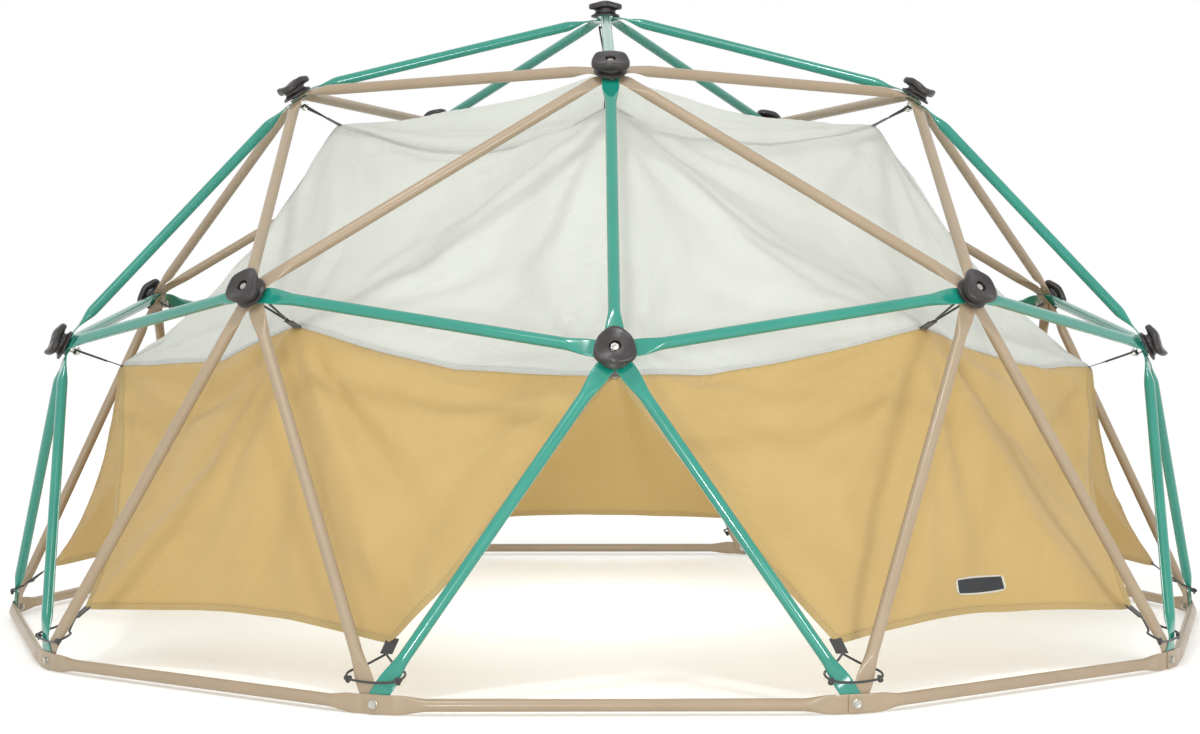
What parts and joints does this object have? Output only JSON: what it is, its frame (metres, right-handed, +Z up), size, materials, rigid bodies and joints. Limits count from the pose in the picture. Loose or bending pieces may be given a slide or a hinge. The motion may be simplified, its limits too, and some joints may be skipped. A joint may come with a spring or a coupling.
{
  "type": "dome climber",
  "caption": "Geodesic hemisphere of crimped steel tubes bolted at capped joints, with a fabric play tent tied inside and a triangular door under each five-way joint.",
  "frame": {"origin": "on the ground, straight under the apex joint", "axes": "+Z up; -Y out of the front door, under a five-way joint; +X to the right seen from the front"},
  "size_m": [3.061, 2.9474, 1.582],
  "materials": {
    "teal_tube": "gloss powder coat",
    "tan_tube": "satin powder coat",
    "cap_plastic": "moulded, satin",
    "zinc": "bright zinc plate",
    "roof_cloth": "coated plain-weave polyester",
    "wall_cloth": "coated plain-weave polyester",
    "webbing": "woven polypropylene tape",
    "hook_plastic": "moulded",
    "elastic": "braided cover over rubber",
    "patch_vinyl": "smooth"
  },
  "bodies": {
    "root": {"crown_strut_1": "teal_tube", "crown_strut_2": "teal_tube", "crown_strut_3": "teal_tube", "crown_strut_4": "teal_tube", "crown_strut_5": "teal_tube", "crown_ring_strut_1": "tan_tube", "crown_ring_strut_2": "tan_tube", "crown_ring_strut_3": "tan_tube", "crown_ring_strut_4": "tan_tube", "crown_ring_strut_5": "tan_tube", "upper_short_strut_1": "teal_tube", "upper_short_strut_2": "teal_tube", "upper_short_strut_3": "teal_tube", "upper_short_strut_4": "teal_tube", "upper_short_strut_5": "teal_tube", "upper_long_struts_1": "tan_tube", "upper_long_struts_2": "tan_tube", "upper_long_struts_3": "tan_tube", "upper_long_struts_4": "tan_tube", "upper_long_struts_5": "tan_tube", "middle_short_struts_1": "teal_tube", "middle_short_struts_2": "teal_tube", "middle_short_struts_3": "teal_tube", "middle_short_struts_4": "teal_tube", "middle_short_struts_5": "teal_tube", "lower_short_struts_1": "teal_tube", "lower_short_struts_2": "teal_tube", "lower_short_struts_3": "teal_tube", "lower_short_struts_4": "teal_tube", "lower_short_struts_5": "teal_tube", "lower_long_struts_1": "tan_tube", "lower_long_struts_2": "tan_tube", "lower_long_struts_3": "tan_tube", "lower_long_struts_4": "tan_tube", "lower_long_struts_5": "tan_tube", "ground_ring_struts_1": "tan_tube", "ground_ring_struts_2": "tan_tube", "ground_ring_struts_3": "tan_tube", "ground_ring_struts_4": "tan_tube", "ground_ring_struts_5": "tan_tube", "hub_caps": "cap_plastic", "hub_bolts": "zinc", "hub_washers": "zinc", "hub_nuts": "zinc", "hub_keeper_nuts": "zinc", "ground_bolts": "zinc", "ground_washers": "zinc", "ground_nuts": "zinc", "canopy_crown": "roof_cloth", "canopy_roof": "roof_cloth", "canopy_wall_1": "wall_cloth", "canopy_wall_2": "wall_cloth", "canopy_wall_3": "wall_cloth", "canopy_wall_4": "wall_cloth", "canopy_wall_5": "wall_cloth", "corner_tabs": "webbing", "corner_hooks": "hook_plastic", "hanger_cords": "elastic", "ground_cords": "elastic", "blank_patch": "patch_vinyl"}
  },
  "joints": []
}
